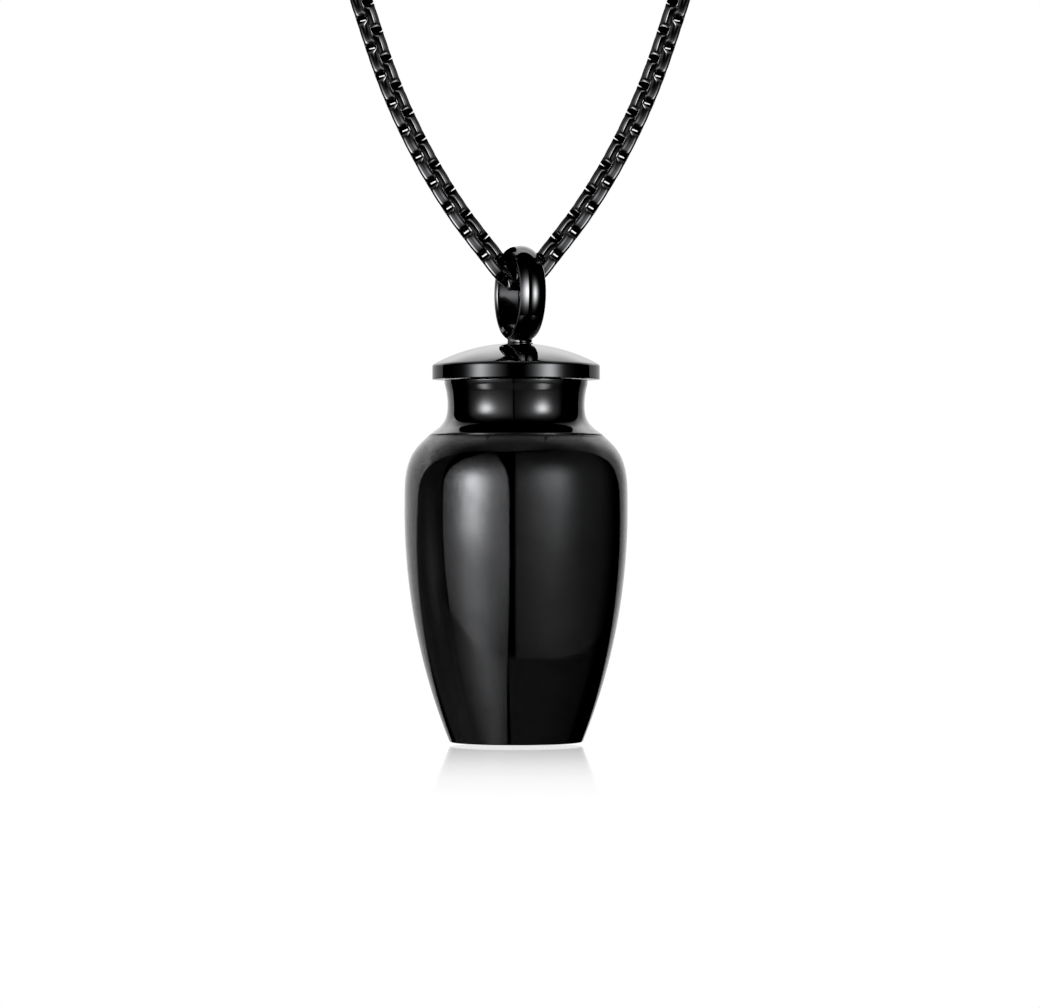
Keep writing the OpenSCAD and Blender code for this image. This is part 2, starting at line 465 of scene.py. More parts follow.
@dataclass
class Jar:
    """The turned jar: a bowl with its shoulder, and the neck that stands in it.

    The roof is the shoulder's round inside and the well is the belly's wall inside.
    """

    at: Vector
    base_edge_r: float = 0.15
    belly_r: float = 10.0
    belly_z: float = 20.5
    crease_z: float = 27.4
    seat_z: float = 27.43
    seat_gap: float = 0.03
    spigot_r: float = 5.6
    spigot_z: float = 26.6
    waist_r: float = 6.14
    waist_z: float = 30.15
    mouth_z: float = 32.39
    edge_r: float = 0.08
    bore_r: float = 4.4
    thread_depth: float = 0.3
    thread_pitch: float = 1.0
    thread_turns: float = 4.2
    thread_steps: int = 48
    roof_at: Point = (4.2, 22.8)
    roof_r: float = 3.8
    well_r: float = 52.5
    floor_z: float = 2.6
    wall: float = 2.0
    steps: int = 256
    bowl_tilts: Table = (
        (0.0, -22.1), (3.0, -18.9), (6.0, -15.5), (9.5, -11.7), (12.5, -8.5), (15.5, -5.4),
        (18.0, -2.9), (19.5, -1.3), (20.5, -0.35), (21.5, 0.35), (22.4, 1.2), (22.9, 2.6), (23.4, 5.0),
        (24.0, 8.9), (24.6, 14.2), (25.0, 18.6), (25.4, 24.2), (25.95, 32.0), (26.35, 38.6),
        (26.76, 44.4), (27.1, 46.6), (27.5, 47.6))
    neck_tilts: Table = (
        (27.4, 54.0), (28.0, 53.0), (28.25, 46.0), (28.6, 34.5), (28.8, 27.5), (29.0, 20.5), (29.26, 13.0),
        (29.6, 6.8), (29.9, 3.0), (30.15, 0.0), (30.6, -4.0), (31.0, -7.2), (31.3, -9.2),
        (31.38, -13.4), (31.9, -14.3), (32.02, -9.0), (32.12, -5.0), (32.4, -4.0))

    @property
    def root_r(self) -> float:
        """Radius of the neck's bore between the ridges of its thread."""
        return self.bore_r + self.thread_depth

    def bowl_outline(self) -> list[Point]:
        """Outline of the bowl.

        Returns:
            Points from the axis under the base, over belly, shoulder and the neck's seat, then down
            the inside to the axis on its floor.
        """
        edge, gap = self.base_edge_r, self.seat_gap
        wall = leaning(self.bowl_tilts, (self.belly_r, self.belly_z), edge * 0.6, self.crease_z - gap, 0.2)
        foot = wall[0][0]
        base = [(0.0, 0.0), (2.0, 0.0), (4.0, 0.0)] + arc(foot - edge, edge, edge, -90, -24, 5)
        top_r, top_z = wall[-1]
        lip = arc(top_r - 0.045, top_z - 0.02, 0.05, 38, 90, 4)
        seat_z = self.crease_z - 3 * gap
        seat = straight((lip[-1][0] - 2 * gap, seat_z), (self.spigot_r, seat_z), 2)
        hole = [(self.spigot_r, self.spigot_z - 0.1)]
        roof = arc(*self.roof_at, self.roof_r, 68, 0, 12)[1:]
        well = arc(self.belly_r - self.wall - self.well_r, self.belly_z, self.well_r, 0,
                   -math.degrees(math.asin((self.belly_z - self.floor_z) / self.well_r)), 14)
        return base + wall + lip + seat + hole + roof + well + [(0.0, self.floor_z)]

    def neck_outline(self) -> list[Point]:
        """Closed outline of the neck.

        Returns:
            Points from its step, over its hollow and mouth, then down its bore.
        """
        gap, edge, low = self.seat_gap, self.edge_r, self.spigot_z
        wall = leaning(self.neck_tilts, (self.waist_r, self.waist_z), self.seat_z + 0.08,
                       self.mouth_z - edge, 0.09)
        step_r = wall[0][0] + 0.01
        foot = [(step_r - gap, self.seat_z - 2 * gap), (step_r, self.seat_z - gap),
                (step_r, self.seat_z + 0.04)]
        mouth = arc(wall[-1][0] - edge, self.mouth_z - edge, edge, 0, 90, 5)
        root, spigot_r = self.root_r, self.spigot_r - gap
        inside = [(root + 0.45, self.mouth_z), (root + 0.3, self.mouth_z - 0.02), (root, self.mouth_z - 0.32)]
        lower = [(root, low + 0.1), (root + 0.1, low), (spigot_r, low), (spigot_r, self.seat_z - 2 * gap)]
        return foot + wall + mouth + inside + lower

    def build(self, material: Material) -> list[Piece]:
        """Builds and dresses the jar.

        Args:
            material: Its finish.

        Returns:
            The bowl, and the neck with its thread.
        """
        ridge = thread(self.root_r, self.bore_r, self.crease_z, self.thread_turns, self.thread_pitch,
                       self.thread_steps)
        meshes = {"jar_bowl": turned(self.bowl_outline(), self.steps),
                  "jar_neck": merge(turned_ring(self.neck_outline(), self.steps), ridge)}
        place = Matrix.Translation(self.at)
        return [dressed(name, bm, place, Body.JAR, Slot.JAR, "jar", material) for name, bm in meshes.items()]


@dataclass
class Lid:
    """The screw lid: plug with its thread, flange and dome."""

    at: Vector
    flange_r: float = 7.5
    flange_z: float = 32.44
    flange_h: float = 1.35
    edge_r: float = 0.06
    chamfer: Point = (0.08, 0.14)
    dome_h: float = 1.9
    plug_r: float = 3.93
    crest_r: float = 4.28
    plug_l: float = 4.5
    thread_z: float = 0.75
    thread_pitch: float = 1.0
    thread_turns: float = 3.2
    thread_steps: int = 48
    steps: int = 256

    @property
    def plug_z(self) -> float:
        """Height of the plug's lower end."""
        return self.flange_z - self.plug_l

    @property
    def dome_z(self) -> float:
        """Height of the dome's edge."""
        return self.flange_z + self.flange_h

    @property
    def dome_top(self) -> float:
        """Height of the dome's top."""
        return self.dome_z + self.dome_h

    def outline(self) -> list[Point]:
        """Outline of the lid.

        Returns:
            Points from the plug's lower end, over the flange, to the dome's top.
        """
        low, edge = self.plug_z, self.edge_r
        inward, down = self.chamfer
        rim = self.flange_r - inward
        dome_r = (rim * rim + self.dome_h ** 2) / (2 * self.dome_h)
        plug = [(0.0, low), (1.8, low), (self.plug_r - 0.4, low), (self.plug_r, low + 0.4),
                (self.plug_r, self.flange_z - 0.1), (self.plug_r + 0.1, self.flange_z), (5.2, self.flange_z)]
        under = arc(self.flange_r - edge, self.flange_z + edge, edge, -90, 0, 6)
        side = straight((self.flange_r, self.flange_z + edge), (self.flange_r, self.dome_z - down), 10)[1:]
        over = [(self.flange_r - inward * 0.12, self.dome_z - down * 0.82),
                (self.flange_r - inward * 0.85, self.dome_z - down * 0.16)]
        lean = math.degrees(math.asin(rim / dome_r))
        dome = arc(0.0, self.dome_top - dome_r, dome_r, 90 - lean + 0.3, 90, 40)
        return plug + [(6.6, self.flange_z)] + under + side + over + dome

    def build(self, material: Material) -> Piece:
        """Builds and dresses the lid.

        Args:
            material: Its finish.

        Returns:
            The lid with its plug.
        """
        ridge = thread(self.plug_r, self.crest_r, self.plug_z + self.thread_z, self.thread_turns,
                       self.thread_pitch, self.thread_steps)
        mesh = merge(turned(self.outline(), self.steps), ridge)
        place = Matrix.Translation(self.at)
        return dressed("lid", mesh, place, Body.LID, Slot.LID, "lid_with_bail", material)


@dataclass
class Bail:
    """The post on the dome and the ring bail that is soldered on it."""

    at: Vector
    dome_top: float
    shift: float = 0.35
    post_r: float = 1.1
    post_h: float = 0.55
    fillet_r: float = 0.16
    bore_r: float = 3.45
    thick: float = 0.96
    wide: float = 2.4
    rim_r: float = 0.3
    yaw: float = 18.0
    steps: int = 256
    post_steps: int = 96

    def section(self) -> list[Point]:
        """Section of the ring.

        Returns:
            Points of the closed D, as radius and place along the axis.
        """
        rise, side = self.thick - self.rim_r, self.wide / 2 - self.rim_r
        crown = (rise * rise + side * side - self.rim_r ** 2) / (2 * (rise - self.rim_r))
        turn = math.degrees(math.atan2(side, crown - rise))
        inner = self.bore_r + self.rim_r
        return (arc(inner, -side, self.rim_r, 180, 360 - turn, 16)
                + arc(self.bore_r + self.thick - crown, 0.0, crown, -turn, turn, 24)[1:-1]
                + arc(inner, side, self.rim_r, turn, 180, 16)
                + straight((self.bore_r, side), (self.bore_r, -side), 8)[1:-1])

    def post_outline(self) -> list[Point]:
        """Outline of the post.

        Returns:
            Points from inside the dome, round the solder's fillet, to inside the ring.
        """
        f = self.fillet_r
        low, high = self.dome_top, self.dome_top + self.post_h + 0.25
        return ([(0.0, low - 0.6), (self.post_r + 0.2, low - 0.6)]
                + arc(self.post_r + f, low + f - 0.02, f, 250, 180, 6)
                + [(self.post_r, low + 0.3), (self.post_r, high), (0.0, high)])

    def build(self, material: Material, painted_shade_lining: Material) -> list[Piece]:
        """Builds and dresses the bail.

        Args:
            material: Finish of its outside.
            painted_shade_lining: Darker, rougher finish of the ring's bore, painted shade inside the ring.

        Returns:
            The post and the ring.
        """
        at = self.at + Vector((self.shift, 0, 0))
        post = dressed("bail_post", turned(self.post_outline(), self.post_steps),
                       Matrix.Translation(at), Body.LID, Slot.LID, "lid_with_bail", material)
        up = Matrix.Translation(at + Vector((0, 0, self.dome_top + self.thick + self.bore_r)))
        lying = Matrix.Rotation(math.radians(self.yaw), 4, "Z") @ Matrix.Rotation(math.radians(90), 4, "Y")
        ring_mesh = turned_ring(self.section(), self.steps)
        # The bore's faces get the second material, a darker, rougher copy of the steel: painted shade inside
        # the ring.
        for face in ring_mesh.faces:
            middle = face.calc_center_median()
            face.material_index = int(math.hypot(middle.x, middle.y) < self.bore_r + 0.02)
        ring = dressed("bail_ring", ring_mesh, up @ lying, Body.LID, Slot.LID, "lid_with_bail", material,
                       painted_shade_lining, sharp_from=80)
        return [post, ring]


# The chain


@dataclass
class ChainRoute:
    """Middle line of the chain: the bend in the bail, then one half's listed points, mirrored."""

    hang_y: float = -124.0
    low_z: float = -202.85
    vee_r: float = 1.5
    vee_slope: float = 48.0
    end: Triple = (8.0, 2.5, 0.0)
    points: tuple[Triple, ...] = (
        (3.1, -124, -199.9), (5.6, -124, -196.6), (8.6, -124, -191.7), (11.4, -123.9, -185.8),
        (14.2, -123.5, -177.7), (19, -122.5, -162), (29.5, -118.3, -126), (39.5, -109.5, -92),
        (48.2, -95, -62), (54.4, -75.5, -38), (56, -52, -21), (50.5, -29, -10), (37.7, -11, -3.5),
        (22, -0.8, -0.6))
    fine: float = 0.05

    def half(self) -> list[Vector]:
        """Middle line of one half.

        Returns:
            Close points from the lowest one to the clasp.
        """
        angles = [math.radians(a) for a in (0.0, self.vee_slope / 2, self.vee_slope)]
        vee = [Vector((self.vee_r * math.sin(a), self.hang_y, self.low_z + self.vee_r * (1 - math.cos(a))))
               for a in angles]
        before = Vector((-vee[1].x, vee[1].y, vee[1].z))
        end = Vector(self.end)
        knots = [before, *vee, *(Vector(p) for p in self.points), end, end - Vector((8, 0, 0))]
        line = []
        for i in range(1, len(knots) - 2):
            count = max(2, round((knots[i + 1] - knots[i]).length / self.fine))
            line += [self.between(knots[i - 1:i + 3], k / count) for k in range(count)]
        return line + [end]

    @staticmethod
    def between(p: list[Vector], s: float) -> Vector:
        """A point of a smooth curve.

        Args:
            p: Four points that the curve runs through.
            s: Share of the way from the second point to the third.

        Returns:
            The point there.
        """
        t = [0.0]
        for a, b in zip(p, p[1:]):
            t.append(t[-1] + math.sqrt((b - a).length))
        at = t[1] + s * (t[2] - t[1])

        def mix(a: Vector, b: Vector, ta: float, tb: float) -> Vector:
            """Point between a at ta and b at tb."""
            return ((tb - at) * a + (at - ta) * b) / (tb - ta)

        a, b, c = mix(p[0], p[1], t[0], t[1]), mix(p[1], p[2], t[1], t[2]), mix(p[2], p[3], t[2], t[3])
        return mix(mix(a, b, t[0], t[2]), mix(b, c, t[1], t[3]), t[1], t[2])


@dataclass(frozen=True)
class Seam:
    """The gap in a link's back plate, where the two ends of its band meet.

    It runs across the band from low to high, and opens to the band's rim where high lies past it.
    Its width at the low end is a share of its full width.
    """

    low: float
    high: float
    width: float
    shift: float
    low_share: float = 1.0


@dataclass
class Chain:
    """A round box chain: bands bent to boxes, each turned a quarter against the last."""

    route: ChainRoute
    links: int = 451
    radius: float = 1.0
    band: float = 1.36
    gauge: float = 0.31
    end_gauge: float = 0.4
    play: float = 0.02
    corner_r: float = 0.4
    hollow_r: float = 0.12
    rim_r: float = 0.07
    taper: float = 0.08
    seams: tuple[Seam, Seam] = (Seam(-0.2, 0.68, 0.17, -0.12, 0.3), Seam(-0.26, 0.58, 0.15, 0.05))
    cuts_x: tuple[float, ...] = (-0.4, 0.0, 0.4)
    cuts_z: tuple[float, ...] = (-0.5, -0.25, 0.0, 0.25, 0.5)
    roll: float = 45.0
    front_links: int = 31
    pitch: float = 0.0

    def hinges(self) -> list[Vector]:
        """Shares the middle line out among the links, which gives their pitch.

        Returns:
            Points where one link hangs in the next, from the bail to the clasp.
        """
        line = self.route.half()
        lengths = [0.0]
        for a, b in zip(line, line[1:]):
            lengths.append(lengths[-1] + (b - a).length)
        self.pitch = 2 * lengths[-1] / self.links
        points, j = [], 0
        for k in range(self.links // 2 + 1):
            s = self.pitch * (k + 0.5)
            while j < len(lengths) - 2 and lengths[j + 1] < s:
                j += 1
            share = (s - lengths[j]) / (lengths[j + 1] - lengths[j])
            points.append(line[j].lerp(line[j + 1], share))
        return points

    def box_link(self, seam: Seam | None) -> BMesh:
        """One link along X, its window open along Z.

        Args:
            seam: The seam of a fine link that is seen from close by, or None for a plain link.

        Returns:
            The link's mesh about the origin.
        """
        fine = seam is not None
        length = self.pitch + 2 * self.end_gauge + self.play
        bm = bmesh.new()
        bmesh.ops.create_cube(bm, size=1.0)
        bmesh.ops.scale(bm, vec=(length, 2 * self.radius, self.band), verts=bm.verts[:])
        flats = [f for f in bm.faces if abs(f.normal.z) > 0.9]
        bmesh.ops.inset_individual(bm, faces=flats, thickness=self.gauge, use_even_offset=True)
        window = list({v for f in flats for v in f.verts})
        window_x = (length / 2 - self.end_gauge) / (length / 2 - self.gauge)
        bmesh.ops.scale(bm, vec=(window_x, 1, 1), verts=window)
        rims = [list(f.edges) for f in flats]
        bmesh.ops.delete(bm, geom=flats, context="FACES_ONLY")
        bmesh.ops.bridge_loops(bm, edges=rims[0] + rims[1])
        corners = [e for e in bm.edges if abs(e.verts[0].co.z - e.verts[1].co.z) > self.band * 0.9]
        outer = [e for e in corners if abs(e.verts[0].co.y) > self.radius - 0.01]
        hollow = [e for e in corners if e not in outer]
        self.round_off(bm, outer, self.corner_r, 7 if fine else 3)
        self.round_off(bm, hollow, self.hollow_r, 4 if fine else 1)
        if fine:
            rims_now = [e for e in bm.edges if all(abs(abs(v.co.z) - self.band / 2) < 1e-4 for v in e.verts)
                        and len({round(f.normal.z, 2) for f in e.link_faces}) > 1
                        and self.is_outer(e, length)]
            self.round_off(bm, rims_now, self.rim_r, 3)
        self.cut(bm, (0, 0, 1), self.cuts_z if fine else (0.0,))
        self.cut(bm, (1, 0, 0), self.cuts_x if fine else (0.0,))
        if fine:
            self.cut_seam(bm, seam)
        self.bulge(bm)
        bmesh.ops.recalc_face_normals(bm, faces=bm.faces[:])
        # Faces that look into the link get the second material, near-black painted shade for the link's
        # inside.
        for face in bm.faces:
            middle = face.calc_center_median()
            face.material_index = int(middle.x * face.normal.x + middle.y * face.normal.y < -0.1)
        return bm

    def is_outer(self, edge: bmesh.types.BMEdge, length: float) -> bool:
        """Tells whether an edge lies on the outside of a link's band, for the link's length."""
        middle = (edge.verts[0].co + edge.verts[1].co) / 2
        return (abs(middle.y) > self.radius - self.gauge * 0.9
                or abs(middle.x) > length / 2 - self.end_gauge * 0.9)

    @staticmethod
    def round_off(bm: BMesh, edges: list[bmesh.types.BMEdge], radius: float, segments: int) -> None:
        """Rounds some of the edges."""
        bmesh.ops.bevel(bm, geom=edges, offset=radius, offset_type="OFFSET", affect="EDGES",
                        segments=segments, profile=0.5, material=-1)

    @staticmethod
    def cut(bm: BMesh, axis: Triple, places: Iterable[float]) -> None:
        """Cuts all faces across an axis, at each of the places."""
        for place in places:
            bmesh.ops.bisect_plane(bm, geom=bm.verts[:] + bm.edges[:] + bm.faces[:], dist=1e-5,
                                   plane_co=Vector(axis) * place, plane_no=axis)

    def cut_seam(self, bm: BMesh, seam: Seam) -> None:
        """Opens a seam through the plate on the Y side and closes its walls.

        Args:
            bm: The link.
            seam: The seam.
        """
        sides = (seam.shift - seam.width / 2, seam.shift + seam.width / 2)
        tips = [z for z in (seam.low, seam.high) if abs(z) < self.band / 2 - 0.01]
        self.cut(bm, (1, 0, 0), sides)
        self.cut(bm, (0, 0, 1), tips)
        inside = self.radius - self.gauge - 0.02
        middles = {f: f.calc_center_median() for f in bm.faces}
        gone = [f for f, c in middles.items()
                if sides[0] < c.x < sides[1] and c.y > inside and seam.low < c.z < seam.high + 0.01]
        bmesh.ops.delete(bm, geom=gone, context="FACES")
        edge = {v for e in bm.edges if e.is_boundary for v in e.verts}
        walls = [[v for v in edge if abs(v.co.x - x) < 1e-4] for x in sides]
        walls += [[v for v in edge if abs(v.co.z - z) < 1e-4] for z in tips]
        for wall in walls:
            bmesh.ops.contextual_create(bm, geom=wall)
        for vert in edge:
            share = seam.low_share + (1 - seam.low_share) * (vert.co.z - seam.low) / (seam.high - seam.low)
            vert.co.x = seam.shift + (vert.co.x - seam.shift) * share

    def bulge(self, bm: BMesh) -> None:
        """Bends the outer face of both side plates to the chain's round.

        Args:
            bm: The link.
        """
        inside = self.radius - self.gauge
        for vert in bm.verts:
            depth = (abs(vert.co.y) - inside) / self.gauge
            if depth > 0.01:
                round_y = math.sqrt(self.radius ** 2 - vert.co.z ** 2) - self.taper * vert.co.x ** 2
                vert.co.y -= math.copysign((self.radius - round_y) * depth, vert.co.y)

    def places(self) -> list[Matrix]:
        """Works out where the links of one half are.

        Returns:
            Place of each, from the one in the bail's middle to the last before the clasp.
        """
        hinges = self.hinges()
        pairs = list(zip(hinges, hinges[1:]))
        centres = [Vector((0, hinges[0].y, hinges[0].z))] + [(a + b) / 2 for a, b in pairs]
        headings = [Vector((1, 0, 0))] + [(b - a).normalized() for a, b in pairs]
        side, made = Vector((0, 1, 0)), []
        for i, (centre, heading) in enumerate(zip(centres, headings)):
            side = (side - side.dot(heading) * heading).normalized()
            up = heading.cross(side)
            turn = Matrix.Rotation(math.radians(self.roll if i % 2 == 0 else -self.roll), 3, "X")
            axes = Matrix((heading, side, up)).transposed() @ turn
            made.append(Matrix.Translation(centre) @ axes.to_4x4())
        return made

    def build(self, material: Material, inside: Material) -> list[Piece]:
        """Builds and dresses the chain.

        Args:
            material: Finish of the links' outside.
            inside: Finish of their inside.

        Returns:
            inside: Near-black finish of their inside faces that mirrors nothing, painted shade in the links'
                hollows.
        """
        places = self.places()
        mirror = Matrix.Scale(-1, 4, (1, 0, 0))
        pieces = []
        for name, seams, chosen in (("chain_front", self.seams, range(self.front_links)),
                                    ("chain_loop", (None, None), range(self.front_links, len(places)))):
            templates = []
            for seam in seams:
                link = self.box_link(seam)
                templates.append(bpy.data.meshes.new("link"))
                link.to_mesh(templates[-1])
                link.free()
            bm = bmesh.new()
            for i in chosen:
                for matrix in (places[i], mirror @ places[i]) if i else (places[i],):
                    count = len(bm.verts)
                    bm.from_mesh(templates[i % 2])
                    bm.verts.ensure_lookup_table()
                    bmesh.ops.transform(bm, matrix=matrix, verts=bm.verts[count:])
            for template in templates:
                bpy.data.meshes.remove(template)
            bmesh.ops.recalc_face_normals(bm, faces=bm.faces[:])
            pieces.append(dressed(name, bm, Matrix.Identity(4), Body.NECKLACE, Slot.CHAIN, "chain",
                                  material, inside, sharp_from=40))
        return pieces


@dataclass
class Clasp:
    """The barrel clasp and the ferrules that hold the chain's ends."""

    barrel_l: float = 12.0
    barrel_r: float = 2.5
    ferrule_l: float = 2.0
    ferrule_r: float = 1.6
    end_r: float = 0.9
    groove: float = 0.12
    edge_r: float = 0.1
    steps: int = 96

    def half(self) -> list[Point]:
        """Outline of one half.

        Returns:
            Points from the middle outwards, as radius and place along the axis.
        """
        middle, edge, g = self.barrel_l / 2, self.edge_r, self.groove
        end = middle + self.ferrule_l
        return ([(self.barrel_r - g, 0.0), (self.barrel_r - g, g * 0.5), (self.barrel_r, g * 1.5)]
                + straight((self.barrel_r, 0.4), (self.barrel_r, middle - self.end_r - 0.1), 6)
                + arc(self.barrel_r - self.end_r, middle - self.end_r, self.end_r, 0, 90, 10)
                + [(self.ferrule_r, middle + 0.02), (self.ferrule_r, middle + 0.2)]
                + arc(self.ferrule_r - edge, end - edge, edge, 0, 90, 4) + [(0.0, end)])

    def build(self, material: Material) -> Piece:
        """Builds and dresses the clasp.

        Args:
            material: Its finish.

        Returns:
            The barrel with both ferrules.
        """
        half = self.half()
        outline = [(r, -z) for r, z in reversed(half)] + half[1:]
        place = Matrix.Translation((0, self.barrel_r, 0)) @ Matrix.Rotation(math.radians(90), 4, "Y")
        return dressed("clasp_barrel", turned(outline, self.steps), place, Body.NECKLACE, Slot.CLASP,
                       "clasp", material)


# The studio


@dataclass(frozen=True)
class Glow:
    """A soft bright patch of the tent: its direction and widths in degrees, and its strength."""

    azimuth: float
    elevation: float
    width: float
    height: float
    strength: float


@dataclass(frozen=True)
class Panel:
    """A lit stretch of the tent, with an edge on each side that may be soft.

    The azimuth is 0 towards the camera and positive to its right. A bow moves a side edge to the left
    by its value times the squared elevation over bow_at. The bottom and top edges are tables of
    azimuth and elevation, or one elevation.
    """

    left: float
    right: float
    left_soft: float
    right_soft: float
    glows: tuple[Glow, ...]
    even: float = 0.0
    left_bow: float = 0.0
    right_bow: float = 0.0
    bow_at: float = 0.0
    bottom: Table | float | None = None
    bottom_soft: float = 1.0
    top: Table | float | None = None
    top_soft: float = 1.0

    def light(self, azimuth: Num, elevation: Num) -> Num:
        """Builds the panel's light.

        Args:
            azimuth: The direction's azimuth.
            elevation: Its elevation.

        Returns:
            The light from there.
        """
        light = None
        for glow in self.glows:
            patch = (azimuth.hump(glow.azimuth, glow.width) * elevation.hump(glow.elevation, glow.height)
                     * glow.strength)
            light = light + patch if light else patch + self.even
        off = elevation - self.bow_at
        for edge, soft, bow in ((self.left, self.left_soft, self.left_bow),
                                (self.right, -self.right_soft, self.right_bow)):
            bowed = azimuth + off * off * bow if bow else azimuth
            light = light * bowed.rise(edge, edge + soft)
        for edge, soft, sign in ((self.bottom, self.bottom_soft, 1), (self.top, self.top_soft, -1)):
            if edge is not None:
                over = elevation - (azimuth.table(edge) if isinstance(edge, tuple) else edge)
                light = light * over.rise(-soft * sign / 2, soft * sign / 2)
        return light


@dataclass(frozen=True)
class Sweep:
    """The white cloth that hangs behind the pendant and over it.

    Its edge is a table of azimuth and lowest elevation. Its light is a table of the angle over the
    back, from 0 level behind the pendant to 90 straight above. It falls off by side_fall between the
    two distances to the side, from the first to the second of the angles over the back, and by
    right_fall between two distances to the right.
    """

    edge: Table
    light: Table
    side_fall: float
    edge_soft: float = 2.5
    side_x: Point = (0.2, 0.6)
    side_over: Point = (35.0, 60.0)
    right_fall: float = 0.0
    right_x: Point = (0.4, 0.7)

    def shine(self, x: Num, azimuth: Num, elevation: Num, overhead: Num) -> Num:
        """Builds the cloth's light.

        Args:
            x: How far the direction goes to the right, from -1 to 1.
            azimuth: The direction's azimuth.
            elevation: Its elevation.
            overhead: Its angle over the back.

        Returns:
            The light from there.
        """
        light = overhead.table(self.light)
        aside = x.math("ABSOLUTE").rise(*self.side_x) * overhead.rise(*self.side_over)
        light = light * (aside * -self.side_fall + 1.0)
        if self.right_fall:
            light = light * (x.rise(*self.right_x) * -self.right_fall + 1.0)
        over = elevation - azimuth.table(self.edge)
        return light * over.rise(-self.edge_soft / 2, self.edge_soft / 2)


@dataclass
class LightTent:
    """White cloth round the pendant that glows in patches, seen only in reflections."""

    name: str
    centre: Vector
    radius: float
    panels: tuple[Panel, ...] = ()
    sweep: Sweep | None = None

    def material(self) -> Material:
        """Builds the tent's material.

        Returns:
            A material that glows and is clear otherwise.
        """
        material = bpy.data.materials.new(self.name)
        material.use_nodes = True
        material.cycles.emission_sampling = "NONE"
        tree = material.node_tree
        tree.nodes.clear()
        emission = add_node(tree, "ShaderNodeEmission")
        if self.panels:
            here = add_node(tree, "ShaderNodeTexCoord").outputs["Object"]
            unit = add_node(tree, "ShaderNodeVectorMath", {0: here}, operation="NORMALIZE")
            parts = add_node(tree, "ShaderNodeSeparateXYZ", {0: unit.outputs["Vector"]})
            x, y, z = (Num(tree, parts.outputs[k]) for k in range(3))
            azimuth = x.math("ARCTAN2", y * -1.0) * math.degrees(1)
            elevation = z.math("ARCSINE") * math.degrees(1)
            overhead = z.math("ARCTAN2", y) * math.degrees(1)
            lights = [panel.light(azimuth, elevation) for panel in self.panels]
            if self.sweep:
                lights.append(self.sweep.shine(x, azimuth, elevation, overhead))
            light = lights[0]
            for other in lights[1:]:
                light = light + other
            fill(emission, {"Strength": light})
        clear = add_node(tree, "ShaderNodeBsdfTransparent")
        both = add_node(tree, "ShaderNodeAddShader", {0: emission.outputs[0], 1: clear.outputs[0]})
        add_node(tree, "ShaderNodeOutputMaterial", {"Surface": both.outputs[0]})
        return material

    def build(self, lit: list[Piece]) -> None:
        """Builds the tent.

        Args:
            lit: The pieces that it lights; no other piece sees it.
        """
        bm = bmesh.new()
        bmesh.ops.create_uvsphere(bm, u_segments=48, v_segments=24, radius=self.radius * MM)
        tent = added(self.name, bm)
        tent.location = self.centre * MM
        tent.data.materials.append(self.material())
        tent.visible_camera = tent.visible_shadow = tent.visible_diffuse = False
        receivers = bpy.data.collections.new(self.name + "_lit")
        for piece in lit:
            receivers.objects.link(piece)
        tent.light_linking.receiver_collection = receivers


BOWL_SWEEP = Sweep(
    edge=((-180, -16), (-150, -15), (-138, -12), (-130, -7), (-120, 2), (-110, 15), (-100, 30), (-90, 40),
          (-80, 48), (-60, 57), (-30, 61), (0, 63), (30, 64), (60, 62), (80, 57), (100, 45), (110, 36),
          (120, 24), (128, 10), (135, 0), (142, -8), (150, -11), (180, -12)),
    light=((-20, 0.4), (-8, 0.75), (0, 0.92), (10, 1.02), (24, 1.2), (34, 1.5), (42, 1.95), (55, 2.3),
           (66, 2.0), (76, 1.4), (84, 0.75), (90, 0.38), (96, 0.26), (120, 0.2)),
    side_fall=0.62, right_fall=0.56)
LEFT_LINE = ((-90, -13), (-78, -16.5), (-63.5, -20.9), (-52, -24.2), (-41.5, -26.8), (-31, -28.1),
             (-21, -29), (-2, -29.4))
RIGHT_LINE = ((-12, -29.4), (5, -29.6), (25, -29.2), (59, -26.5), (88, -21.6), (106, -17.3),
              (119, -13.9), (135, -9))
BOWL_PANELS = (
    Panel(-81.5, -6.4, 2.5, 1.5, left_bow=-0.009, right_bow=0.006, bow_at=-5, even=0.02, top=57, top_soft=16,
          bottom=LEFT_LINE, bottom_soft=0.8,
          glows=(Glow(-44.5, 7, 14.2, 11.5, 13.6), Glow(-36, 5, 45, 27, 2.4), Glow(-46, -21, 20, 13, 1.35))),
    Panel(-90, -6.6, 14, 1.5, right_bow=0.006, bow_at=-5, top=LEFT_LINE, top_soft=0.8,
          glows=(Glow(-37, -28, 22, 20, 1.35), Glow(-58, -30, 40, 25, 0.3))),
    Panel(-1.6, 124, 2.5, 30, even=0.11, top=59, top_soft=14, bottom=RIGHT_LINE, bottom_soft=0.8,
          glows=(Glow(46, 11, 13, 12, 1.65), Glow(33, 11, 17, 12.5, 1.45), Glow(34, 4, 34, 24, 0.68),
                 Glow(45, -24, 50, 9, 0.2), Glow(85, 14, 24, 24, 0.08))),
    Panel(-10.5, 115, 1, 14, top=RIGHT_LINE, top_soft=0.8, glows=(Glow(20, -40, 90, 90, 0.15),)),
    Panel(-140, -81, 12, 2, even=0.09, top=44, top_soft=10,
          glows=(Glow(-99, -8, 9, 8, 0.24), Glow(-96, -32, 20, 12, 0.16))),
)
LID_SWEEP = Sweep(
    edge=mirrored(((0, 74), (60, 70), (95, 60), (112, 44), (119, 30), (122, -8), (126, -14), (180, -14))),
    light=((-20, 0.45), (0, 0.6), (7, 0.77), (11, 0.95), (15, 1.14), (19, 1.38), (23, 1.68), (26, 1.9),
           (29, 2.1), (34, 2.45), (38, 2.65), (45, 2.85), (50, 2.0), (60, 1.5), (76, 1.2), (90, 0.5)),
    side_fall=0.35, side_x=(0.08, 0.24), side_over=(25.0, 42.0))
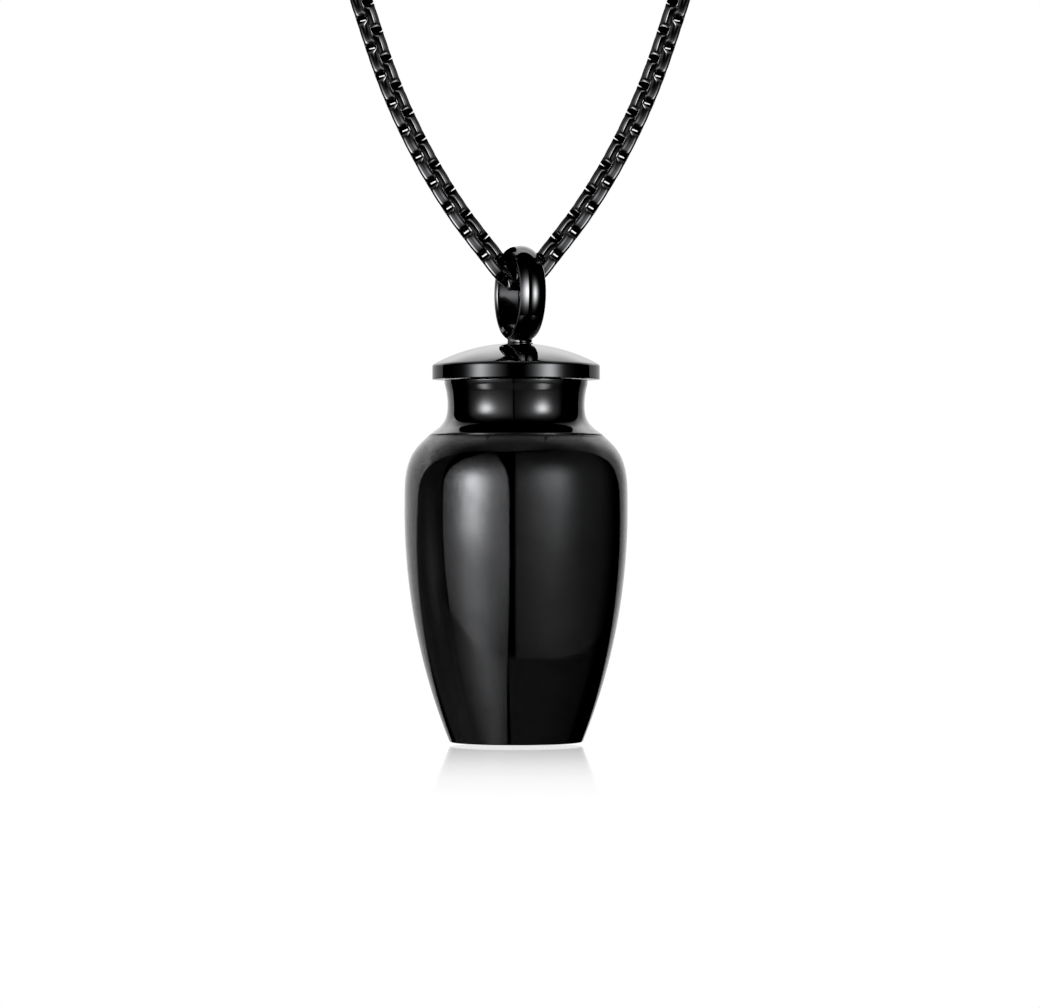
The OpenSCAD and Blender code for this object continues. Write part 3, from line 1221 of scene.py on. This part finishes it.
LID_PANELS = (
    Panel(-110, -4, 20, 12, top=48, top_soft=30, glows=(
        Glow(-51, 2, 12.2, 14, 10.4), Glow(-38, 2, 15, 14, 2.6), Glow(-62, 2, 24, 14, 0.12))),
    Panel(4, 100, 12, 20, top=48, top_soft=30, glows=(
        Glow(47.5, 2, 11.8, 14, 10.0), Glow(37, 2, 13, 14, 3.0), Glow(60, 2, 20, 14, 0.25))),
)
NECK_SWEEP = Sweep(
    edge=mirrored(((0, 79), (60, 75), (95, 66), (118, 48), (127, 30), (130, -10), (134, -14), (180, -14))),
    light=((-20, 0.5), (-8, 0.85), (0, 1.0), (10, 1.2), (25, 1.6), (37, 2.2), (46, 1.7), (55, 1.1),
           (66, 0.7), (76, 0.6), (84, 0.5), (90, 0.4), (110, 0.1)),
    side_fall=0.3, right_fall=0.55)
NECK_PANELS = (
    Panel(-92, -4.6, 14, 1.4, even=0.12, top=56, top_soft=30, glows=(
        Glow(-52, 11, 11.8, 10.8, 18.5), Glow(-42, 14, 26, 24, 2.2))),
    Panel(-3.4, 86, 1.4, 14, even=0.12, top=56, top_soft=30, glows=(
        Glow(45, 11, 10.6, 10.8, 18.5), Glow(42, 14, 24, 24, 1.9))),
    Panel(-85, 75, 20, 20, top=-21, top_soft=4, glows=(
        Glow(-58, -28, 10, 8, 11.5), Glow(48, -28, 10, 8, 7.5), Glow(-14, -28, 60, 12, 0.12))),
)
BAIL_SWEEP = Sweep(
    edge=((-180, -14), (-134, -14), (-130, -10), (-127, 20), (-135, 40), (-140, 50), (-110, 62), (0, 70),
          (110, 62), (130, 52), (138, 38), (140, 20), (141, -10), (144, -14), (180, -14)),
    light=((-20, 0.5), (0, 1.0), (24, 2.4), (40, 2.5), (51, 2.4), (60, 3.5), (69, 4.2), (71, 2.0), (72, 0.0),
           (90, 0.0)),
    side_fall=0.4)
BAIL_PANELS = (
    Panel(-130, -3.6, 20, 2.4, glows=(
        Glow(-12, 4, 23, 21, 33.0), Glow(-75, 2, 38, 14, 4.6))),
    Panel(9, 86, 12, 14, glows=(Glow(36, 1, 13.5, 17.5, 26.0),)),
)
CHAIN_PANELS = (
    Panel(-180, 180, 1, 1, glows=(
        Glow(-107, -29, 11, 16, 26.0), Glow(107, -29, 11, 16, 17.0),
        Glow(-32, -17, 12, 10, 6.0), Glow(30, -16, 12, 10, 6.0),
        Glow(-72, -28, 28, 13, 3.4), Glow(72, -28, 28, 13, 3.0),
        Glow(64, 28, 5, 12, 52.0), Glow(-64, 28, 5, 12, 56.0),
        Glow(84, 31, 13, 12, 5.0), Glow(-84, 31, 13, 12, 3.4),
        Glow(116, 26, 24, 18, 0.6), Glow(-116, 26, 24, 18, 0.6),
        Glow(48, 47, 17, 5, 12.0), Glow(-48, 47, 17, 5, 12.0),
        Glow(-24, 13, 12, 9, 1.4), Glow(24, 13, 12, 9, 1.4))),
)
TENTS = (
    ("chain", CHAIN_PANELS, None),
    ("bail", BAIL_PANELS, BAIL_SWEEP),
    ("lid", LID_PANELS, LID_SWEEP),
    ("neck", NECK_PANELS, NECK_SWEEP),
    ("bowl", BOWL_PANELS, BOWL_SWEEP),
    ("floor", (), None),
)


@dataclass
class Studio:
    """White ground, the faint mirror under the jar, the camera and the tents, one in the other.

    The mirror fades by a table of distance in front of the jar's axis. It also fades between the two
    distances of fade_side to the side, the two of fade_back behind, and where it is seen from above,
    between the two values of fade_facing.
    """

    at: Vector
    middle_z: float = 22.6
    camera_distance: float = 394.0
    camera_z: float = -222.78
    lens: float = 152.3
    sensor: float = 36.0
    tent_r: float = 600.0
    tent_step: float = 20.0
    hover: float = 0.22
    sheet_size: float = 900.0
    fade: Table = ((0.0, 0.52), (9.0, 0.45), (15.0, 0.38), (21.0, 0.32), (32.0, 0.2), (42.0, 0.12),
                   (50.0, 0.065), (60.0, 0.03), (72.0, 0.0))
    fade_side: Point = (60.0, 25.0)
    fade_back: Point = (-30.0, -12.0)
    fade_facing: Point = (0.55, 0.93)

    def world(self) -> None:
        """Makes the ground plain white, and leaves it out of reflections."""
        world = bpy.data.worlds.new("white_ground")
        world.use_nodes = True
        fill(world.node_tree.nodes["Background"], {"Color": (1, 1, 1, 1), "Strength": 1.0})
        world.cycles_visibility.glossy = False
        world.cycles_visibility.diffuse = False
        bpy.context.scene.world = world
        view = bpy.context.scene.view_settings
        view.view_transform, view.look, view.exposure, view.gamma = "Standard", "None", 0.0, 1.0

    def mirror_material(self) -> Material:
        """Builds the floor's material.

        Returns:
            A clear sheet that mirrors faintly close to the jar and fades towards the camera.
        """
        material = bpy.data.materials.new("floor_gloss")
        material.use_nodes = True
        tree = material.node_tree
        tree.nodes.clear()
        here = add_node(tree, "ShaderNodeTexCoord").outputs["Object"]
        parts = add_node(tree, "ShaderNodeSeparateXYZ", {0: here})
        x, y = (Num(tree, parts.outputs[k]) * (1 / MM) for k in range(2))
        away = (y - self.at.y) * -1.0
        fade = away.table(self.fade) * x.math("ABSOLUTE").rise(*self.fade_side) * away.rise(*self.fade_back)
        facing = add_node(tree, "ShaderNodeLayerWeight", {"Blend": 0.5})
        grazing = Num(tree, facing.outputs["Facing"]).rise(*self.fade_facing)
        gloss = add_node(tree, "ShaderNodeBsdfGlossy", {"Color": (1, 1, 1, 1), "Roughness": 0.0})
        clear = add_node(tree, "ShaderNodeBsdfTransparent")
        mix = add_node(tree, "ShaderNodeMixShader", {
            "Fac": fade * grazing, 1: clear.outputs[0], 2: gloss.outputs[0]})
        add_node(tree, "ShaderNodeOutputMaterial", {"Surface": mix.outputs[0]})
        return material

    def sheet(self) -> Piece:
        """Builds the floor.

        Returns:
            The clear sheet just under the jar.
        """
        bm = bmesh.new()
        bmesh.ops.create_grid(bm, x_segments=1, y_segments=1, size=self.sheet_size / 2 * MM)
        z = (self.at.z - self.hover) * MM
        bmesh.ops.translate(bm, vec=(0, self.at.y * MM, z), verts=bm.verts[:])
        sheet = added("floor_sheet", bm)
        sheet.data.materials.append(self.mirror_material())
        sheet.visible_glossy = False
        return sheet

    def camera(self) -> None:
        """Sets the camera level in front of the pendant, as the photograph was taken."""
        data = bpy.data.cameras.new("camera")
        data.lens, data.sensor_width = self.lens, self.sensor
        data.clip_start, data.clip_end = 0.01, 10.0
        camera = bpy.data.objects.new("camera", data)
        camera.location = Vector((0, self.at.y - self.camera_distance, self.camera_z)) * MM
        camera.rotation_euler = (math.radians(90), 0, 0)
        bpy.context.scene.collection.objects.link(camera)
        bpy.context.scene.camera = camera

    def build(self, lit: dict[str, list[Piece]]) -> None:
        """Builds the whole studio.

        Args:
            lit: The pieces that each tent lights, by the tent's name. The floor's tent lights the floor.
        """
        self.world()
        self.camera()
        centre = self.at + Vector((0, 0, self.middle_z))
        for i, (name, panels, sweep) in enumerate(TENTS):
            tent = LightTent("tent_" + name, centre, self.tent_r + i * self.tent_step, panels, sweep)
            tent.build(lit.get(name) or [self.sheet()])


def main() -> None:
    """Builds the pendant on its chain and the studio round it."""
    logging.basicConfig(level=logging.INFO, format="%(name)s %(message)s")
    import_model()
    jar_low, jar_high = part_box("jar")
    at = Vector(((jar_low.x + jar_high.x) / 2, (jar_low.y + jar_high.y) / 2, jar_low.z)) / MM
    lid_low, lid_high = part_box("lid_with_bail")
    log.info("jar stands at %s, lid spans %s to %s", at, lid_low / MM, lid_high / MM)

    steel = BlackSteel("black_steel").make()
    fine = BlackSteel("black_steel_lid", roughness=0.02, roughness_change=0.01,
                      scratch_height_mm=0.0001).make()
    # The bail's bore gets a darker, rougher copy of the steel: painted shade inside the ring.
    painted_shade_bore = BlackSteel("black_steel_bore_painted_shade", tint=(0.006, 0.006, 0.0063), roughness=0.12).make()
    # The links' inside faces get a near-black finish that mirrors nothing: painted shade in the links'
    # hollows.
    painted_shade_inside = BlackSteel("black_steel_painted_shade_inside", tint=(0.003, 0.003, 0.0032), roughness=0.6,
                       reflective=False).make()
    links = BlackSteel("black_steel_links", grain_mm=1.2, roughness=0.03, roughness_change=0.015,
                       scratch_height_mm=0.0).make()
    lid = Lid(at)
    bowl, neck = Jar(at).build(steel)
    cap = lid.build(fine)
    bail = Bail(at, lid.dome_top).build(fine, painted_shade_bore)
    chain = Chain(ChainRoute()).build(links, painted_shade_inside)
    clasp = Clasp().build(steel)

    Studio(at).build({"bowl": [bowl], "neck": [neck], "lid": [cap], "bail": bail, "chain": [*chain, clasp]})


if __name__ == "__main__":
    main()
